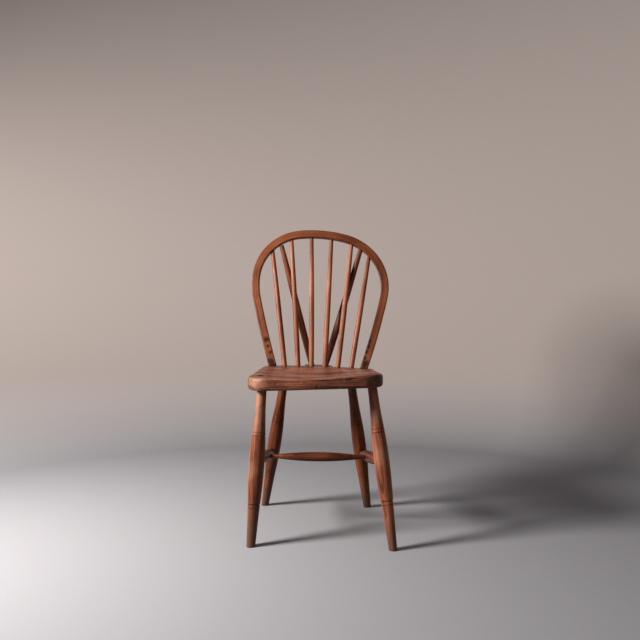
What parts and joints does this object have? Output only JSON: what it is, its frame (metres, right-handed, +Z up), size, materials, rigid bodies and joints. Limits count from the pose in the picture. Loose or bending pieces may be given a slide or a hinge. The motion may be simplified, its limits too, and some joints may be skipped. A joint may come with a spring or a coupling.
{
  "type": "hoop-back kitchen chair",
  "caption": "Wooden hoop-back chair with a dished plank seat, turned sticks and braces in a bent bow, and raked turned legs joined by stretchers.",
  "frame": {"origin": "on the floor, at the middle of the whole chair's footprint box", "axes": "+Z up, -Y towards the chair's front, +X to the right of someone looking at the front"},
  "size_m": [0.4341, 0.4637, 0.8759],
  "materials": {
    "seat_plank": "worn and waxed plank, dull satin",
    "bent_bow": "worn and waxed, satin",
    "sticks": "turned and waxed, satin",
    "braces": "turned and waxed, satin",
    "legs": "turned and waxed, worn greyer near the floor",
    "stretchers": "turned and waxed, satin",
    "wedges": "end grain, dull"
  },
  "bodies": {
    "root": {"seat": "seat_plank", "bow": "bent_bow", "stick_1": "sticks", "stick_2": "sticks", "stick_3": "sticks", "stick_4": "sticks", "stick_5": "sticks", "stick_6": "sticks", "brace_left": "braces", "brace_right": "braces", "front_left_leg": "legs", "front_right_leg": "legs", "rear_left_leg": "legs", "rear_right_leg": "legs", "side_stretcher_left": "stretchers", "side_stretcher_right": "stretchers", "cross_stretcher": "stretchers", "front_left_wedge": "wedges", "front_right_wedge": "wedges", "rear_left_wedge": "wedges", "rear_right_wedge": "wedges", "bow_wedge_left": "wedges", "bow_wedge_right": "wedges"}
  },
  "joints": []
}
